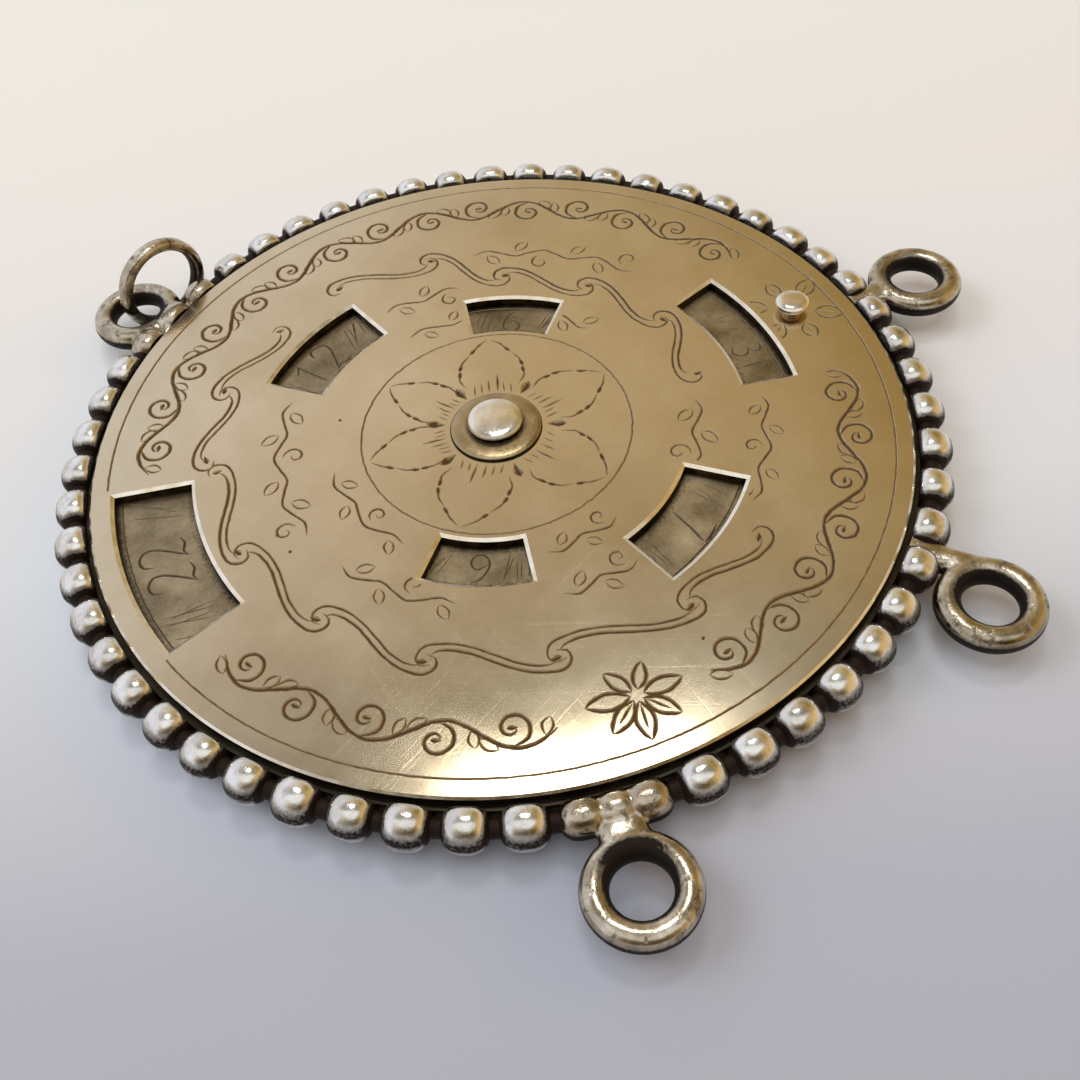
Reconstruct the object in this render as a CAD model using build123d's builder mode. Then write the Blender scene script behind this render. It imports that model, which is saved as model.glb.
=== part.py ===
from build123d import *
import os
from math import asin, cos, degrees, radians, sin, sqrt

# A round silver perpetual calendar worn as a pendant. A fixed plate carries the tables on both
# faces. A pierced dial turns on its front and a smaller dial on its back, both on one rivet.
# Beaded wire and four loops are soldered round the plate's edge, and a free ring hangs from the
# top loop. Millimetres; Z is the turning axis, +Y points at the top loop, and z = 0 is the
# surface that the back rivet head rests on. Angles are degrees about Z, from +X.

# ---- fixed plate ----
plate_thickness = 0.9
rim_gap = 0.35  # open ring between the front dial and the beads

# ---- front dial ----
dial_radius = 25.0
dial_thickness = 0.6
dial_turn = -36.5  # where the knob and the month-length window stand at rest
dial_edge_chamfer = 0.12
window_edge_chamfer = 0.07
window_span = 31.0
face_gap = 0.05  # running gap between a dial and the plate

# The plate is divided into four rings of figures, counted inwards from the dial's plain border.
border_width = 1.5
sign_ring_width = 4.7
month_ring_width = 3.2
day_ring_width = 3.7
sun_ring_width = 3.05

# ---- back dial ----
back_dial_radius = 13.5
back_dial_thickness = 0.6
back_dial_turn = -140.0

# ---- rivet and its domed washers ----
rivet_radius = 0.9
rivet_head_radius = 1.7
rivet_head_height = 0.65
rivet_crown_radius = 0.8  # top of the front head
rivet_flat_radius = 0.9  # hammered flat on the back head
washer_radius = 2.85
washer_crown = 0.32
bearing_gap = 0.03  # between a washer and the dial that turns under it
pivot_clearance = 0.04

# ---- knobs ----
knob_radius = 1.1
knob_height = 0.9
knob_edge = 0.2
knob_crown_radius = 0.6
knob_head_thickness = 0.55
knob_stem_radius = 0.6
front_knob_inset = 3.8  # from the dial's edge to the middle of the knob
back_knob_inset = 2.5
stem_recess = 0.05  # the stem ends short of the dial's inner face

# ---- beaded wire ----
bead_radius = 1.2
bead_seat = 0.7  # from the plate's edge to the line of the bead centres
bead_sides = 8
bead_length = 2.14
wire_neck_radius = 0.68
side_bead_count = 18
lower_bead_count = 7

# ---- loops ----
loop_wire_width = 1.55
loop_height = 1.5
loop_chamfer = 0.45
loop_bore_radius = 1.5
neck_height = 1.25
neck_half_angle = 1.4
wide_neck_half_angle = 2.9
saddle_width = 1.75
saddle_height = 2.0
saddle_chamfer = 0.55
top_loop_stand = 2.75  # from the line of the bead centres to the middle of the eye
drop_loop_stand = 4.35
top_loop_angle = 90.0
top_saddle_angle = 88.5
top_saddle_half_angle = 9.5
right_loop_angle = -38.0
centre_loop_angle = -89.5
centre_neck_shift = 2.12  # its neck stands this far to the right of the eye's middle
left_loop_angle = -138.0
left_saddle_half_angle = 6.8

# ---- free ring ----
ring_bore_radius = 2.5
ring_thickness = 0.8
ring_width = 1.0
ring_chamfer = 0.26
ring_angle = -15.0  # heading of the ring's flat, seen from above
ring_foot_offset = -0.1  # where the ring passes the eye's centre
ring_floor_gap = 0.05

# ---- heights ----
back_washer_top = rivet_head_height + washer_crown
back_dial_z = back_washer_top + bearing_gap
plate_z = back_dial_z + back_dial_thickness + face_gap
front_dial_z = plate_z + plate_thickness + face_gap
front_face_z = front_dial_z + dial_thickness
front_washer_z = front_face_z + bearing_gap
front_head_z = front_washer_z + washer_crown
middle_z = plate_z + plate_thickness / 2

# ---- circles about the turning axis ----
plate_radius = dial_radius + rim_gap
bead_circle = plate_radius + bead_seat
bead_chamfer = (bead_radius - wire_neck_radius) * cos(radians(180 / bead_sides))
top_loop_circle = bead_circle + top_loop_stand
drop_loop_circle = bead_circle + drop_loop_stand
centre_neck_angle = centre_loop_angle + degrees(asin(centre_neck_shift / drop_loop_circle))
front_knob_circle = dial_radius - front_knob_inset
back_knob_circle = back_dial_radius - back_knob_inset
sign_ring_inner = dial_radius - border_width - sign_ring_width
month_ring_inner = sign_ring_inner - month_ring_width
day_ring_inner = month_ring_inner - day_ring_width
sun_ring_inner = day_ring_inner - sun_ring_width
loop_wire_circle = loop_bore_radius + loop_wire_width / 2


def heading(angle):
    """The level direction at an angle about the turning axis."""
    return Vector(cos(radians(angle)), sin(radians(angle)), 0)


def on_circle(radius, angle, z):
    """The point on a circle about the turning axis at a height."""
    return heading(angle) * radius + Vector(0, 0, z)


def upright_plane(radius, angle, z):
    """An upright plane through the turning axis, with its x outwards and its y up."""
    return Plane(
        origin=on_circle(radius, angle, z), x_dir=heading(angle), z_dir=heading(angle - 90)
    )


def upright_axis(radius, angle):
    """A vertical axis through a point on a circle."""
    return Axis(on_circle(radius, angle, 0), (0, 0, 1))


# ================================ plate and dials ================================

with BuildPart() as base_plate:
    with BuildSketch(Plane.XY.offset(plate_z)):
        Circle(plate_radius)
        Circle(rivet_radius, mode=Mode.SUBTRACT)
    extrude(amount=plate_thickness)

# Each window shows one ring of the plate. They stand 60 degrees apart, opposite ones in pairs.
windows = {
    0: (month_ring_inner, month_ring_width),
    60: (sun_ring_inner, sun_ring_width),
    120: (day_ring_inner, day_ring_width),
    180: (sign_ring_inner, sign_ring_width),
    240: (sun_ring_inner, sun_ring_width),
    300: (day_ring_inner, day_ring_width),
}

with BuildPart() as front_dial:
    with BuildSketch(Plane.XY.offset(front_dial_z)):
        Circle(dial_radius)
        Circle(rivet_radius + pivot_clearance, mode=Mode.SUBTRACT)
        with Locations(heading(dial_turn) * front_knob_circle):
            Circle(knob_stem_radius, mode=Mode.SUBTRACT)
    extrude(amount=dial_thickness)
    top_face = front_dial.faces().sort_by(Axis.Z)[-1]
    chamfer(top_face.outer_wire().edges(), dial_edge_chamfer)
    with BuildSketch(Plane.XY.offset(front_face_z)) as window_sketch:
        for offset_angle, (inner, width) in windows.items():
            start = dial_turn + offset_angle - window_span / 2
            with BuildLine():
                inner_arc = CenterArc((0, 0), inner, start, window_span)
                outer_arc = CenterArc((0, 0), inner + width, start, window_span)
                Line(inner_arc @ 0, outer_arc @ 0)
                Line(inner_arc @ 1, outer_arc @ 1)
            make_face()
    extrude(amount=-dial_thickness, mode=Mode.SUBTRACT)
    with BuildSketch(Plane.XY.offset(front_face_z)):
        add(window_sketch.sketch_local)
        offset(amount=window_edge_chamfer, kind=Kind.INTERSECTION)
    extrude(amount=-window_edge_chamfer, taper=45, mode=Mode.SUBTRACT)

with BuildPart() as back_dial:
    with BuildSketch(Plane.XY.offset(back_dial_z)):
        Circle(back_dial_radius)
        Circle(rivet_radius + pivot_clearance, mode=Mode.SUBTRACT)
        with Locations(heading(back_dial_turn) * back_knob_circle):
            Circle(knob_stem_radius, mode=Mode.SUBTRACT)
    extrude(amount=back_dial_thickness)

# ================================ rivet and washers ================================

# One pin holds the whole stack: its front head is domed, its back end hammered flatter.
with BuildPart() as rivet:
    with BuildSketch(Plane.XZ):
        with BuildLine():
            Polyline(
                (0, 0),
                (rivet_flat_radius, 0),
                (rivet_head_radius, rivet_head_height),
                (rivet_radius, rivet_head_height),
                (rivet_radius, front_head_z),
                (rivet_head_radius, front_head_z),
                (rivet_crown_radius, front_head_z + rivet_head_height),
                (0, front_head_z + rivet_head_height),
                close=True,
            )
        make_face()
    revolve(axis=Axis.Z)


def make_washer(flat_z, up):
    """A domed washer with its flat side on the dial; up is 1 on the front and -1 on the back."""
    with BuildPart() as washer:
        with BuildSketch(Plane.XZ):
            with BuildLine():
                Polyline(
                    (rivet_radius, flat_z),
                    (washer_radius, flat_z),
                    (rivet_head_radius, flat_z + up * washer_crown),
                    (rivet_radius, flat_z + up * washer_crown),
                    close=True,
                )
            make_face()
        revolve(axis=Axis.Z)
    return washer


front_washer = make_washer(front_washer_z, 1)
back_washer = make_washer(back_washer_top, -1)


def make_knob(circle, angle, face_z, thickness, up):
    """A finger knob soldered into a dial: a head on a plain stem; up as for the washers."""
    with BuildPart() as knob:
        with BuildSketch(upright_plane(circle, angle, 0)):
            with BuildLine():
                Polyline(
                    (0, face_z - up * (thickness - stem_recess)),
                    (knob_stem_radius, face_z - up * (thickness - stem_recess)),
                    (knob_stem_radius, face_z + up * (knob_height - knob_head_thickness)),
                    (knob_radius, face_z + up * (knob_height - knob_head_thickness)),
                    (knob_radius, face_z + up * (knob_height - knob_edge)),
                    (knob_crown_radius, face_z + up * knob_height),
                    (0, face_z + up * knob_height),
                    close=True,
                )
            make_face()
        revolve(axis=upright_axis(circle, angle))
    return knob


front_knob = make_knob(front_knob_circle, dial_turn, front_face_z, dial_thickness, 1)
back_knob = make_knob(back_knob_circle, back_dial_turn, back_dial_z, back_dial_thickness, -1)

# ================================ beaded rim ================================


def make_bead(pitch):
    """One bead of the wire with its half necks, in its own frame: X outwards, Y along the wire."""
    with BuildPart() as bead:
        with BuildSketch(Plane.XZ.offset(-bead_length / 2)):
            RegularPolygon(bead_radius, bead_sides)
        extrude(amount=bead_length)
        chamfer(bead.faces().filter_by(Axis.Y).edges(), bead_chamfer)
        with BuildSketch(Plane.XZ):
            RegularPolygon(wire_neck_radius, bead_sides)
        extrude(amount=bead_length, both=True)
        split(bisect_by=Plane((-bead_seat, 0, 0), z_dir=(1, 0, 0)))
        split(bisect_by=Plane((-bead_circle, 0, 0), z_dir=heading(90 - pitch / 2)))
        split(bisect_by=Plane((-bead_circle, 0, 0), z_dir=heading(pitch / 2 - 90)))
    return bead


def make_bead_strip(start, end, count, start_trim=0, end_trim=0):
    """A length of beaded wire, filed flat on its inner side and soldered to the plate's edge.

    The beads are spaced from start to end, and each end is cut back by its trim for a loop's neck.
    """
    wire_start = start + start_trim
    wire_end = end - end_trim
    pitch = (end - start) / count
    bead = make_bead(pitch)
    with BuildPart() as strip:
        with Locations(Plane.XY.offset(middle_z)):
            with PolarLocations(bead_circle, count, start + pitch / 2, end - start):
                add(bead.part)
        split(bisect_by=Plane((0, 0, 0), z_dir=heading(wire_start + 90)))
        split(bisect_by=Plane((0, 0, 0), z_dir=heading(wire_end - 90)))
    return strip


# ================================ loops ================================


def make_loop(circle, angle, neck_angle, neck_half, saddle=None):
    """A cast ring lying level with the plate, on a neck and, on two loops, a wider saddle."""
    sideways = circle * sin(radians(neck_angle - angle))
    neck_end = circle * cos(radians(neck_angle - angle)) - sqrt(loop_wire_circle**2 - sideways**2)
    with BuildPart() as loop:
        with BuildSketch(upright_plane(circle, angle, middle_z)):
            with Locations((loop_wire_circle, 0)):
                Rectangle(loop_wire_width, loop_height)
            chamfer(vertices(), loop_chamfer)
        revolve(axis=upright_axis(circle, angle))
        with BuildSketch(upright_plane(0, neck_angle - neck_half, middle_z)):
            with Locations(((plate_radius + neck_end) / 2, 0)):
                Rectangle(neck_end - plate_radius, neck_height)
        revolve(axis=Axis.Z, revolution_arc=2 * neck_half)
        if saddle:
            saddle_angle, saddle_half = saddle
            with BuildSketch(upright_plane(plate_radius, saddle_angle - saddle_half, middle_z)):
                with Locations((saddle_width / 2, 0)):
                    Rectangle(saddle_width, saddle_height)
                chamfer(vertices().group_by(Axis.X)[-1], saddle_chamfer)
            revolve(axis=Axis.Z, revolution_arc=2 * saddle_half)
        with Locations(on_circle(circle, angle, middle_z)):
            Cylinder(loop_bore_radius, 2 * loop_height, mode=Mode.SUBTRACT)
    return loop


top_saddle = (top_saddle_angle, top_saddle_half_angle)
left_saddle = (left_loop_angle, left_saddle_half_angle)
top_loop = make_loop(top_loop_circle, top_loop_angle, top_loop_angle, neck_half_angle, top_saddle)
right_loop = make_loop(drop_loop_circle, right_loop_angle, right_loop_angle, neck_half_angle)
centre_loop = make_loop(drop_loop_circle, centre_loop_angle, centre_neck_angle, neck_half_angle)
left_loop = make_loop(
    drop_loop_circle, left_loop_angle, left_loop_angle, wide_neck_half_angle, left_saddle
)

# The strips run from loop to loop, clockwise round the rim from the top.
top_saddle_right = top_saddle_angle - top_saddle_half_angle
top_saddle_left = top_saddle_angle + top_saddle_half_angle
left_saddle_right = left_loop_angle + left_saddle_half_angle
left_saddle_left = left_loop_angle - left_saddle_half_angle + 360
right_beads = make_bead_strip(
    right_loop_angle, top_saddle_right, side_bead_count, start_trim=neck_half_angle
)
lower_right_beads = make_bead_strip(
    centre_neck_angle, right_loop_angle, lower_bead_count, neck_half_angle, neck_half_angle
)
lower_left_beads = make_bead_strip(
    left_saddle_right, centre_neck_angle, lower_bead_count, end_trim=neck_half_angle
)
left_beads = make_bead_strip(top_saddle_left, left_saddle_left, side_bead_count)

# ================================ free ring ================================

# The ring stands upright through the top loop's eye, one side in the eye and one side outside.
ring_circle = ring_bore_radius + ring_thickness / 2
ring_z = ring_floor_gap + ring_circle + ring_thickness / 2
ring_half_chord = sqrt(ring_circle**2 - (ring_z - middle_z) ** 2)
ring_foot = on_circle(top_loop_circle, top_loop_angle, ring_z)
ring_centre = ring_foot + heading(ring_angle) * (ring_foot_offset + ring_half_chord)
ring_axis = heading(ring_angle + 90)

with BuildPart() as jump_ring:
    with BuildSketch(Plane(ring_centre, x_dir=heading(ring_angle), z_dir=(0, 0, 1))):
        with Locations((ring_circle, 0)):
            Rectangle(ring_thickness, ring_width)
        chamfer(vertices(), ring_chamfer)
    revolve(axis=Axis(ring_centre, ring_axis))

# ================================ written files ================================

pieces = {
    "base_plate": base_plate,
    "front_dial": front_dial,
    "front_knob": front_knob,
    "front_washer": front_washer,
    "back_dial": back_dial,
    "back_knob": back_knob,
    "back_washer": back_washer,
    "rivet": rivet,
    "right_beads": right_beads,
    "lower_right_beads": lower_right_beads,
    "lower_left_beads": lower_left_beads,
    "left_beads": left_beads,
    "top_loop": top_loop,
    "right_loop": right_loop,
    "centre_loop": centre_loop,
    "left_loop": left_loop,
    "jump_ring": jump_ring,
}

os.makedirs("parts", exist_ok=True)
for name, piece in pieces.items():
    piece.part.label = name
    export_step(piece.part, f"parts/{name}.step")
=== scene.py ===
# %% [markdown]
# # Engraved silver: a perpetual calendar pendant
#
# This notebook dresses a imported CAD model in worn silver. The interesting part is the engraving. It isn't
# a bump texture: every line is a real V-shaped groove in the sheet, so it catches light on one side and
# goes dark on the other, and it can be looked at from any angle.
#
# The idea in three steps:
#
# 1. describe each engraved line as a centre line with a width, in millimetres, on a flat drawing;
# 2. triangulate the whole face with those lines as constraints;
# 3. push each point down by how deep the graver went there.
#
# The same steps cut ornament into the front dial, figures into the plate and numbers into the back dial.

import bmesh
import bpy
import numpy as np
from mathutils import Matrix, Vector
from mathutils.geometry import delaunay_2d_cdt


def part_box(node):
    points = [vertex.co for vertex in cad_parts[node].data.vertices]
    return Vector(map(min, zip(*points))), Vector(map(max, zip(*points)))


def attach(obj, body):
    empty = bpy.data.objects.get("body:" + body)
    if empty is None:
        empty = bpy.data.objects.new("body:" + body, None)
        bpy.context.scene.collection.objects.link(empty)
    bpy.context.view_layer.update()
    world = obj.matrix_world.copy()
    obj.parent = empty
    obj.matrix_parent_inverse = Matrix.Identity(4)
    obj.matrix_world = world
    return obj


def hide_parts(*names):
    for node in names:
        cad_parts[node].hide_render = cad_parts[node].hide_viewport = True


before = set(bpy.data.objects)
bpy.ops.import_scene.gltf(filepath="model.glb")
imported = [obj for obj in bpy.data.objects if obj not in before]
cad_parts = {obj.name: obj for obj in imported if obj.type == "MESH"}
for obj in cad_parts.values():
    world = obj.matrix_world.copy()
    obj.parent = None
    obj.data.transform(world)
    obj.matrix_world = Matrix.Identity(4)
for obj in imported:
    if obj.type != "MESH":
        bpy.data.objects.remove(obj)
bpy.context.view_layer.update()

# %% [markdown]
# ## Sizes
#
# Drawings are in millimetres and degrees; `MM` turns them into Blender's metres when a mesh is made.
# Heights come from the CAD model's nodes, so the pieces here always sit where the CAD model has them.

# %% Sizes read from the CAD model, and the few that the drawings need
MM = 0.001


def heights(node):
    """The lowest and highest z of a CAD node, in millimetres."""
    low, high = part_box(node)
    return low.z / MM, high.z / MM


dial_low, dial_high = heights("front_dial")
plate_low, plate_high = heights("base_plate")
back_low, back_high = heights("back_dial")
middle = (plate_low + plate_high) / 2

dial_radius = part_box("front_dial")[1].x / MM
plate_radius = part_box("base_plate")[1].x / MM
back_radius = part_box("back_dial")[1].x / MM
dial_turn = -36.5
back_turn = -140.0
ring_radii = (8.85, 11.9, 15.6, 18.8, 23.5)  # the plate's four rings of figures lie between these
window_span = 31.0
pivot_radius = 0.94
knob_circle = 21.2
back_knob_circle = 11.0
print(f"front dial {2 * dial_radius:.1f} mm wide, top at z = {dial_high:.2f} mm")

# %% [markdown]
# ## Drawing tools
#
# A cut is a centre line, a half width at each of its points, and whether it closes on itself. A graver
# leaves lines that swell in the middle and run out to nothing, so the half width fades at both ends, and
# a steady hand still wanders a few hundredths of a millimetre.

# %% Points and smooth lines
hand = np.random.default_rng(7)


def polar(radius, angle):
    """Points at a radius and an angle in degrees; either may be an array."""
    angle = np.radians(angle)
    return np.stack(np.broadcast_arrays(radius * np.cos(angle), radius * np.sin(angle)), axis=-1)


def smooth_line(points, step, closed):
    """Points every step mm along a smooth curve through the given points (Catmull-Rom)."""
    p = np.asarray(points, float)
    if closed:
        p = np.vstack([p[-1], p, p[:2]])
    else:
        p = np.vstack([2 * p[0] - p[1], p, 2 * p[-1] - p[-2]])
    pieces = []
    for a, b, c, d in zip(p[:-3], p[1:-2], p[2:-1], p[3:]):
        count = max(1, int(np.ceil(np.linalg.norm(c - b) / step)))
        t = np.arange(count)[:, None] / count
        bend = (2 * a - 5 * b + 4 * c - d) * t**2 + (3 * b - 3 * c + d - a) * t**3
        pieces.append((2 * b + (c - a) * t + bend) / 2)
    if not closed:
        pieces.append(p[-2:-1])
    return np.vstack(pieces)


def cut(points, width=0.22, fade=0.9, closed=False, step=0.3, wander=0.008):
    """One engraved line: centre line, half width at each point, and whether it closes."""
    line = smooth_line(points, step, closed)
    if closed:
        half = np.full(len(line), width / 2)
    else:
        length = np.r_[0, np.cumsum(np.linalg.norm(np.diff(line, axis=0), axis=1))]
        to_end = np.minimum(length, length[-1] - length)
        half = width / 2 * (0.22 + 0.78 * np.clip(to_end / fade, 0, 1) ** 0.6)
    half = half * hand.uniform(0.92, 1.08, len(half))
    return line + hand.normal(0, wander, line.shape), half, closed


def nick(point, angle, length=0.75, width=0.5):
    """A short wedge-shaped stab of the graver, deep at its start."""
    direction = polar(1, angle)
    line = np.asarray(point, float) + direction * np.linspace(0, length, 4)[:, None]
    return line, width / 2 * np.array([0.75, 1.0, 0.55, 0.12]), False


# %% [markdown]
# ## From drawing to grooved sheet
#
# `groove_depth` says how deep the graver went at any point: nothing outside the lines, and a V inside
# them. Where two lines cross, the deeper one wins, as it does in metal.

# %% Groove depth at any point
def groove_depth(points, cuts, slope=0.75):
    """Depth in mm at each point; the drawing is searched in small squares to keep this quick."""
    starts, ends, half_a, half_b = [], [], [], []
    for line, half, closed in cuts:
        after = np.roll(line, -1, axis=0) if closed else line[1:]
        half_after = np.roll(half, -1) if closed else half[1:]
        starts.append(line[: len(after)])
        ends.append(after)
        half_a.append(half[: len(after)])
        half_b.append(half_after)
    a, b = np.vstack(starts), np.vstack(ends)
    ha, hb = np.concatenate(half_a), np.concatenate(half_b)
    centre = (a + b) / 2
    depth = np.zeros(len(points))
    square, reach = 2.0, 0.8
    cell = np.floor(points / square).astype(int)
    order = np.lexsort((cell[:, 1], cell[:, 0]))
    firsts = np.flatnonzero(np.r_[True, np.any(np.diff(cell[order], axis=0), axis=1)])
    for members in np.split(order, firsts[1:]):
        low = cell[members[0]] * square
        near = np.all((centre > low - reach) & (centre < low + square + reach), axis=1)
        if not near.any():
            continue
        along = b[near] - a[near]
        offset = points[members][:, None] - a[near][None]
        t = np.clip((offset * along).sum(-1) / np.maximum((along**2).sum(-1), 1e-12), 0, 1)
        distance = np.linalg.norm(offset - along * t[..., None], axis=-1)
        half = ha[near] + (hb - ha)[near] * t
        depth[members] = np.maximum(0, (half - distance).max(axis=1)) * slope
    return depth


# %% Triangulate a face round its cuts
def in_metal(points, outlines):
    """Which points are in the metal: those inside an odd number of outlines."""
    x, y = points.T
    crossings = np.zeros(len(points), int)
    for outline in outlines:
        for (ax, ay), (bx, by) in zip(outline, np.roll(outline, -1, axis=0)):
            if ay != by:
                level = (ay > y) != (by > y)
                crossings += level & (x < ax + (y - ay) * (bx - ax) / (by - ay))
    return crossings % 2 == 1


def face_triangles(outlines, cuts):
    """Points, triangles and a groove flag for one flat face with its rim, holes and cuts."""
    points, edges = [], []

    def add_line(line, closed):
        first = sum(len(p) for p in points)
        points.append(line)
        count = len(line)
        edges.extend((first + i, first + i + 1) for i in range(count - 1))
        if closed:
            edges.append((first + count - 1, first))
        return first

    for outline in outlines:
        add_line(outline, True)
    for line, half, closed in cuts:
        if closed:
            along = np.roll(line, -1, axis=0) - np.roll(line, 1, axis=0)
        else:
            along = np.gradient(line, axis=0)
        across = np.stack([-along[:, 1], along[:, 0]], axis=-1)
        across = across / np.linalg.norm(across, axis=1)[:, None] * half[:, None]
        right = add_line(line - across, closed)
        left = add_line(line + across, closed)
        if closed:
            add_line(line, True)
            continue
        ahead = np.stack([across[:, 1], -across[:, 0]], axis=-1)
        valley = add_line(np.vstack([line[:1] - ahead[:1], line, line[-1:] + ahead[-1:]]), False)
        for end, tip in ((0, valley), (len(line) - 1, valley + len(line) + 1)):
            edges += [(right + end, tip), (left + end, tip)]
    flat = [Vector((float(x), float(y))) for x, y in np.vstack(points)]
    out, _, faces, *_ = delaunay_2d_cdt(flat, edges, [], 0, 1e-6)
    out = np.array([tuple(v) for v in out])
    faces = np.array([f for f in faces if len(f) == 3])
    faces = faces[in_metal(out[faces].mean(axis=1), outlines)]
    centres = out[faces].mean(axis=1)
    grooved = groove_depth(centres, cuts) > 0.002 if cuts else np.zeros(len(faces), bool)
    return out, faces, grooved


# %% [markdown]
# ## Outlines of the sheets
#
# A sheet has a rim, a hole for the pivot and, on the front dial, six windows. Each outline is made twice:
# as it is in the wall of the sheet, and moved a little into the metal, where the bevel meets the face.

# %% Circles and windows
def circle(radius, count):
    return polar(radius, np.arange(count) * 360 / count)


def window_outline(inner, outer, start, end, grow):
    """A sector between two radii and two angles, made larger all round by grow."""
    inner, outer = inner - grow, outer + grow
    shift_in, shift_out = np.degrees(grow / inner), np.degrees(grow / outer)
    count = int(np.ceil((end - start) / 1.2)) + 1
    near = polar(inner, np.linspace(start - shift_in, end + shift_in, count))
    far = polar(outer, np.linspace(end + shift_out, start - shift_out, count))
    return np.vstack([near, far])


windows = {0: (2, 3), 60: (0, 1), 120: (1, 2), 180: (3, 4), 240: (0, 1), 300: (1, 2)}
window_edges = []
for offset, (ring_in, ring_out) in windows.items():
    start = dial_turn + offset - window_span / 2
    window_edges.append((ring_radii[ring_in], ring_radii[ring_out], start, start + window_span))


def off_the_dial(points, margin=0.45, rim_margin=0.4):
    """Which points are off the front dial's metal, or too near to a window, the rim or the pivot's hole."""
    radius = np.hypot(points[:, 0], points[:, 1])
    angle = np.degrees(np.arctan2(points[:, 1], points[:, 0]))
    off = (radius > dial_radius - rim_margin) | (radius < pivot_radius + rim_margin)
    for inner, outer, start, end in window_edges:
        slack = np.degrees(margin / np.maximum(radius, 1))
        turned = (angle - start + slack) % 360
        beside = turned < end - start + 2 * slack
        off |= (radius > inner - margin) & (radius < outer + margin) & beside
    return off


def trim(cuts, off):
    """Lift the graver wherever off(points) says there is no metal to cut."""
    kept = []
    for line, half, closed in cuts:
        bad = off(line)
        if not bad.any():
            kept.append((line, half, closed))
            continue
        for run in np.split(np.arange(len(line)), np.flatnonzero(np.diff(bad.astype(int))) + 1):
            if len(run) > 2 and not bad[run[0]]:
                kept.append((line[run], half[run], False))
    return kept


# %% Build an engraved sheet
DEEPEST = 0.08  # the attribute cut is 1 from this depth on, in mm


def sheet(name, low, high, rims, upper=(), lower=(), bevel_top=0.0, bevel_bottom=0.0):
    """A flat sheet with real grooves. rims holds (outline, outline at the bevel) for rim and holes.

    Material slots: 0 upper face, 1 grooves, 2 bevels, 3 walls, 4 lower face.
    """
    mesh = bmesh.new()
    deepness = mesh.verts.layers.float.new("cut")

    def add_face(z, down, outlines, cuts):
        points, faces, grooved = face_triangles(outlines, cuts)
        used = np.unique(faces)
        depth = groove_depth(points[used], cuts) if cuts else np.zeros(len(used))
        depth[np.isin(used, faces[~grooved])] = 0
        made = {}
        for index, (x, y), deep in zip(used, points[used], depth):
            made[index] = mesh.verts.new((x * MM, y * MM, (z + down * deep) * MM))
            made[index][deepness] = min(1.0, deep / DEEPEST)
        for corners, dark in zip(faces, grooved):
            face = mesh.faces.new([made[i] for i in corners])
            face.material_index = 1 if dark else (0 if down < 0 else 4)

    def add_wall(outline_a, z_a, outline_b, z_b, slot):
        rows = []
        for outline, z in ((outline_a, z_a), (outline_b, z_b)):
            rows.append([mesh.verts.new((x * MM, y * MM, z * MM)) for x, y in outline])
        count = len(outline_a)
        for i in range(count):
            j = (i + 1) % count
            face = mesh.faces.new((rows[0][i], rows[0][j], rows[1][j], rows[1][i]))
            face.material_index = slot

    top_outlines = [bevelled if bevel_top else wall for wall, bevelled in rims]
    bottom_outlines = [bevelled if bevel_bottom else wall for wall, bevelled in rims]
    add_face(high, -1, top_outlines, upper)
    add_face(low, 1, bottom_outlines, lower)
    for (wall, _), top, bottom in zip(rims, top_outlines, bottom_outlines):
        if bevel_top:
            add_wall(top, high, wall, high - bevel_top, 2)
        add_wall(wall, high - bevel_top, wall, low + bevel_bottom, 3)
        if bevel_bottom:
            add_wall(wall, low + bevel_bottom, bottom, low, 2)
    bmesh.ops.remove_doubles(mesh, verts=mesh.verts, dist=2e-7)
    bmesh.ops.dissolve_degenerate(mesh, edges=mesh.edges, dist=1e-8)
    bmesh.ops.recalc_face_normals(mesh, faces=mesh.faces)
    return finish_mesh(name, mesh)


def add_object(name, data):
    """A new object at the scene's origin."""
    made = bpy.data.objects.new(name, data)
    bpy.context.scene.collection.objects.link(made)
    return made


def finish_mesh(name, mesh, sharp_angle=30):
    """Turn a bmesh into an object at the origin, with sharp edges where it folds or its finish changes."""
    for face in mesh.faces:
        face.smooth = True
    for edge in mesh.edges:
        if len(edge.link_faces) == 2:
            one, other = edge.link_faces
            folded = edge.calc_face_angle(0) > np.radians(sharp_angle)
            edge.smooth = one.material_index == other.material_index and not folded
    data = bpy.data.meshes.new(name)
    mesh.to_mesh(data)
    mesh.free()
    print(f"{name}: {len(data.polygons)} faces")
    return add_object(name, data)


# %% [markdown]
# ## Ornament on the front dial
#
# Everything is traditional silversmith's work: a six-petal rosette, a garland of S-scrolls, a leafy vine
# round the border and small sprigs between the windows. Angles are counted from the knob.

# %% Curls, leaves and sprigs
def on_dial(radius, angle):
    return polar(radius, np.asarray(angle) + dial_turn)


def curl(centre, size, start, side=1, turns=1.2, width=0.22):
    """A spiral that winds inwards from a start angle; side 1 winds to the left, -1 to the right."""
    t = np.linspace(0, 1, 10)
    return cut(centre + polar(size * (1 - 0.82 * t), start + side * 360 * turns * t), width)


def leaf(root, angle, length, fat=0.3, width=0.17, vein=True):
    """An almond-shaped leaf in two cuts, with a short vein."""
    ahead, aside = polar(1, angle), polar(1, angle + 90)
    t = np.array([0, 0.25, 0.55, 0.85, 1])
    belly = np.array([0, 0.8, 1, 0.5, 0]) * fat * length
    sides = [root + t[:, None] * length * ahead + s * belly[:, None] * aside for s in (1, -1)]
    cuts = [cut(side, width, fade=0.5) for side in sides]
    if vein:
        spine = root + np.array([0.1, 0.4, 0.7])[:, None] * length * ahead
        cuts.append(cut(spine, 0.75 * width, fade=0.5))
    return cuts


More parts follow.
